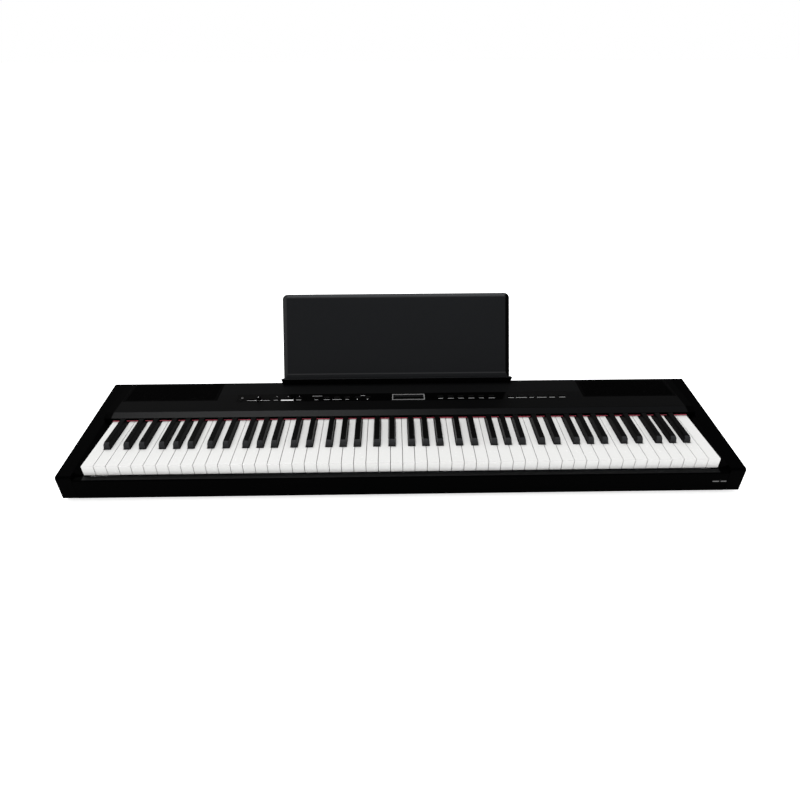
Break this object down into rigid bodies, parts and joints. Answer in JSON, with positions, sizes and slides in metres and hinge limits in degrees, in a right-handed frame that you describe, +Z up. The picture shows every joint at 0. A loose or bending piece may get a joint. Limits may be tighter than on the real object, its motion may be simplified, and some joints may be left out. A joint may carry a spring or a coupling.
{
  "type": "slab digital piano",
  "caption": "Slab digital piano with full-length keyboard, sprung keys and buttons, sliding volume control, central display, speakers and a lift-out music rest.",
  "frame": {"origin": "centre of the bounding box at the surface the feet stand on", "axes": "+X towards the treble end, +Y away from the player, +Z up"},
  "size_m": [1.318, 0.3938, 0.2666],
  "materials": {
    "case_plastic": "fine-grained black moulded plastic",
    "cover_plastic": "satin black moulded plastic",
    "gloss_panel": "polished black acrylic",
    "button_plastic": "matte dark grey button caps",
    "white_key": "smooth warm white key plastic",
    "black_key": "satin black key plastic",
    "rest_plastic": "matte dark grey textured plastic",
    "red_felt": "red wool felt",
    "rubber_foot": "matte black rubber",
    "display_frame": "pale grey frame",
    "display_glass": "dark liquid crystal window",
    "chipboard": "black foil on chipboard",
    "speaker_cone": "black paper cone and basket",
    "steel": "plain sheet steel",
    "grille_metal": "black perforated steel",
    "circuit_board": "green circuit board",
    "jack_plastic": "black socket housing"
  },
  "bodies": {
    "case": {"bottom_board": "chipboard", "front_rail": "case_plastic", "left_cheek": "case_plastic", "right_cheek": "case_plastic", "rear_panel_left": "case_plastic", "rear_panel_right": "case_plastic", "left_front_foot": "rubber_foot", "right_front_foot": "rubber_foot", "left_rear_foot": "rubber_foot", "right_rear_foot": "rubber_foot", "top_cover": "cover_plastic", "left_grille": "grille_metal", "right_grille": "grille_metal", "left_speaker": "speaker_cone", "right_speaker": "speaker_cone", "main_board": "circuit_board", "jack_block": "jack_plastic", "control_panel": "gloss_panel", "display_bezel": "display_frame", "display_window": "display_glass", "key_frame": "steel", "name_felt": "red_felt", "white_keys": "white_key", "black_keys": "black_key"},
    "key_c4": {"key_c4": "white_key"},
    "key_cs4": {"key_cs4": "black_key"},
    "key_d4": {"key_d4": "white_key"},
    "key_ds4": {"key_ds4": "black_key"},
    "key_e4": {"key_e4": "white_key"},
    "key_f4": {"key_f4": "white_key"},
    "key_fs4": {"key_fs4": "black_key"},
    "key_g4": {"key_g4": "white_key"},
    "key_gs4": {"key_gs4": "black_key"},
    "key_a4": {"key_a4": "white_key"},
    "key_as4": {"key_as4": "black_key"},
    "key_b4": {"key_b4": "white_key"},
    "rhythm_button_1": {"rhythm_button_1": "button_plastic"},
    "rhythm_button_2": {"rhythm_button_2": "button_plastic"},
    "rhythm_button_3": {"rhythm_button_3": "button_plastic"},
    "sound_button_1": {"sound_button_1": "button_plastic"},
    "sound_button_2": {"sound_button_2": "button_plastic"},
    "sound_button_3": {"sound_button_3": "button_plastic"},
    "sound_button_4": {"sound_button_4": "button_plastic"},
    "sound_button_5": {"sound_button_5": "button_plastic"},
    "sound_button_6": {"sound_button_6": "button_plastic"},
    "function_button_1": {"function_button_1": "button_plastic"},
    "function_button_2": {"function_button_2": "button_plastic"},
    "function_button_3": {"function_button_3": "button_plastic"},
    "function_button_4": {"function_button_4": "button_plastic"},
    "function_button_5": {"function_button_5": "button_plastic"},
    "function_button_6": {"function_button_6": "button_plastic"},
    "tone_button_1": {"tone_button_1": "button_plastic"},
    "tone_button_2": {"tone_button_2": "button_plastic"},
    "tone_button_3": {"tone_button_3": "button_plastic"},
    "tone_button_4": {"tone_button_4": "button_plastic"},
    "tone_button_5": {"tone_button_5": "button_plastic"},
    "tone_button_6": {"tone_button_6": "button_plastic"},
    "power_button": {"power_button": "button_plastic"},
    "volume_knob": {"volume_knob": "button_plastic"},
    "music_rest": {"music_rest": "rest_plastic"}
  },
  "joints": [
    {"name": "key_c4_press", "type": "hinge", "parent": "case", "child": "key_c4", "pos_m": [0, 0.01259, 0.0676], "axis": [1, 0, 0], "range_deg": [0, 2.6], "stiffness_Nm_per_rad": 1, "springref_deg": -9.74},
    {"name": "key_cs4_press", "type": "hinge", "parent": "case", "child": "key_cs4", "pos_m": [0, 0.01259, 0.0676], "axis": [1, 0, 0], "range_deg": [0, 3], "stiffness_Nm_per_rad": 1, "springref_deg": -8.02},
    {"name": "key_d4_press", "type": "hinge", "parent": "case", "child": "key_d4", "pos_m": [0, 0.01259, 0.0676], "axis": [1, 0, 0], "range_deg": [0, 2.6], "stiffness_Nm_per_rad": 1, "springref_deg": -9.74},
    {"name": "key_ds4_press", "type": "hinge", "parent": "case", "child": "key_ds4", "pos_m": [0, 0.01259, 0.0676], "axis": [1, 0, 0], "range_deg": [0, 3], "stiffness_Nm_per_rad": 1, "springref_deg": -8.02},
    {"name": "key_e4_press", "type": "hinge", "parent": "case", "child": "key_e4", "pos_m": [0, 0.01259, 0.0676], "axis": [1, 0, 0], "range_deg": [0, 2.6], "stiffness_Nm_per_rad": 1, "springref_deg": -9.74},
    {"name": "key_f4_press", "type": "hinge", "parent": "case", "child": "key_f4", "pos_m": [0, 0.01259, 0.0676], "axis": [1, 0, 0], "range_deg": [0, 2.6], "stiffness_Nm_per_rad": 1, "springref_deg": -9.74},
    {"name": "key_fs4_press", "type": "hinge", "parent": "case", "child": "key_fs4", "pos_m": [0, 0.01259, 0.0676], "axis": [1, 0, 0], "range_deg": [0, 3], "stiffness_Nm_per_rad": 1, "springref_deg": -8.02},
    {"name": "key_g4_press", "type": "hinge", "parent": "case", "child": "key_g4", "pos_m": [0, 0.01259, 0.0676], "axis": [1, 0, 0], "range_deg": [0, 2.6], "stiffness_Nm_per_rad": 1, "springref_deg": -9.74},
    {"name": "key_gs4_press", "type": "hinge", "parent": "case", "child": "key_gs4", "pos_m": [0, 0.01259, 0.0676], "axis": [1, 0, 0], "range_deg": [0, 3], "stiffness_Nm_per_rad": 1, "springref_deg": -8.02},
    {"name": "key_a4_press", "type": "hinge", "parent": "case", "child": "key_a4", "pos_m": [0, 0.01259, 0.0676], "axis": [1, 0, 0], "range_deg": [0, 2.6], "stiffness_Nm_per_rad": 1, "springref_deg": -9.74},
    {"name": "key_as4_press", "type": "hinge", "parent": "case", "child": "key_as4", "pos_m": [0, 0.01259, 0.0676], "axis": [1, 0, 0], "range_deg": [0, 3], "stiffness_Nm_per_rad": 1, "springref_deg": -8.02},
    {"name": "key_b4_press", "type": "hinge", "parent": "case", "child": "key_b4", "pos_m": [0, 0.01259, 0.0676], "axis": [1, 0, 0], "range_deg": [0, 2.6], "stiffness_Nm_per_rad": 1, "springref_deg": -9.74},
    {"name": "rhythm_button_1_press", "type": "slide", "parent": "case", "child": "rhythm_button_1", "axis": [0, 0, -1], "range_m": [0, 0.001], "stiffness_N_per_m": 300, "springref_m": -0.003},
    {"name": "rhythm_button_2_press", "type": "slide", "parent": "case", "child": "rhythm_button_2", "axis": [0, 0, -1], "range_m": [0, 0.001], "stiffness_N_per_m": 300, "springref_m": -0.003},
    {"name": "rhythm_button_3_press", "type": "slide", "parent": "case", "child": "rhythm_button_3", "axis": [0, 0, -1], "range_m": [0, 0.001], "stiffness_N_per_m": 300, "springref_m": -0.003},
    {"name": "sound_button_1_press", "type": "slide", "parent": "case", "child": "sound_button_1", "axis": [0, 0, -1], "range_m": [0, 0.001], "stiffness_N_per_m": 300, "springref_m": -0.003},
    {"name": "sound_button_2_press", "type": "slide", "parent": "case", "child": "sound_button_2", "axis": [0, 0, -1], "range_m": [0, 0.001], "stiffness_N_per_m": 300, "springref_m": -0.003},
    {"name": "sound_button_3_press", "type": "slide", "parent": "case", "child": "sound_button_3", "axis": [0, 0, -1], "range_m": [0, 0.001], "stiffness_N_per_m": 300, "springref_m": -0.003},
    {"name": "sound_button_4_press", "type": "slide", "parent": "case", "child": "sound_button_4", "axis": [0, 0, -1], "range_m": [0, 0.001], "stiffness_N_per_m": 300, "springref_m": -0.003},
    {"name": "sound_button_5_press", "type": "slide", "parent": "case", "child": "sound_button_5", "axis": [0, 0, -1], "range_m": [0, 0.001], "stiffness_N_per_m": 300, "springref_m": -0.003},
    {"name": "sound_button_6_press", "type": "slide", "parent": "case", "child": "sound_button_6", "axis": [0, 0, -1], "range_m": [0, 0.001], "stiffness_N_per_m": 300, "springref_m": -0.003},
    {"name": "function_button_1_press", "type": "slide", "parent": "case", "child": "function_button_1", "axis": [0, 0, -1], "range_m": [0, 0.001], "stiffness_N_per_m": 300, "springref_m": -0.003},
    {"name": "function_button_2_press", "type": "slide", "parent": "case", "child": "function_button_2", "axis": [0, 0, -1], "range_m": [0, 0.001], "stiffness_N_per_m": 300, "springref_m": -0.003},
    {"name": "function_button_3_press", "type": "slide", "parent": "case", "child": "function_button_3", "axis": [0, 0, -1], "range_m": [0, 0.001], "stiffness_N_per_m": 300, "springref_m": -0.003},
    {"name": "function_button_4_press", "type": "slide", "parent": "case", "child": "function_button_4", "axis": [0, 0, -1], "range_m": [0, 0.001], "stiffness_N_per_m": 300, "springref_m": -0.003},
    {"name": "function_button_5_press", "type": "slide", "parent": "case", "child": "function_button_5", "axis": [0, 0, -1], "range_m": [0, 0.001], "stiffness_N_per_m": 300, "springref_m": -0.003},
    {"name": "function_button_6_press", "type": "slide", "parent": "case", "child": "function_button_6", "axis": [0, 0, -1], "range_m": [0, 0.001], "stiffness_N_per_m": 300, "springref_m": -0.003},
    {"name": "tone_button_1_press", "type": "slide", "parent": "case", "child": "tone_button_1", "axis": [0, 0, -1], "range_m": [0, 0.001], "stiffness_N_per_m": 300, "springref_m": -0.003},
    {"name": "tone_button_2_press", "type": "slide", "parent": "case", "child": "tone_button_2", "axis": [0, 0, -1], "range_m": [0, 0.001], "stiffness_N_per_m": 300, "springref_m": -0.003},
    {"name": "tone_button_3_press", "type": "slide", "parent": "case", "child": "tone_button_3", "axis": [0, 0, -1], "range_m": [0, 0.001], "stiffness_N_per_m": 300, "springref_m": -0.003},
    {"name": "tone_button_4_press", "type": "slide", "parent": "case", "child": "tone_button_4", "axis": [0, 0, -1], "range_m": [0, 0.001], "stiffness_N_per_m": 300, "springref_m": -0.003},
    {"name": "tone_button_5_press", "type": "slide", "parent": "case", "child": "tone_button_5", "axis": [0, 0, -1], "range_m": [0, 0.001], "stiffness_N_per_m": 300, "springref_m": -0.003},
    {"name": "tone_button_6_press", "type": "slide", "parent": "case", "child": "tone_button_6", "axis": [0, 0, -1], "range_m": [0, 0.001], "stiffness_N_per_m": 300, "springref_m": -0.003},
    {"name": "power_button_press", "type": "slide", "parent": "case", "child": "power_button", "axis": [0, 0, -1], "range_m": [0, 0.0008], "stiffness_N_per_m": 300, "springref_m": -0.003},
    {"name": "volume_slide", "type": "slide", "parent": "case", "child": "volume_knob", "axis": [1, 0, 0], "range_m": [-0.018, 0.018]},
    {"name": "music_rest_lift", "type": "slide", "parent": "case", "child": "music_rest", "axis": [0, 0.5, 0.866], "range_m": [0, 0.06]}
  ]
}
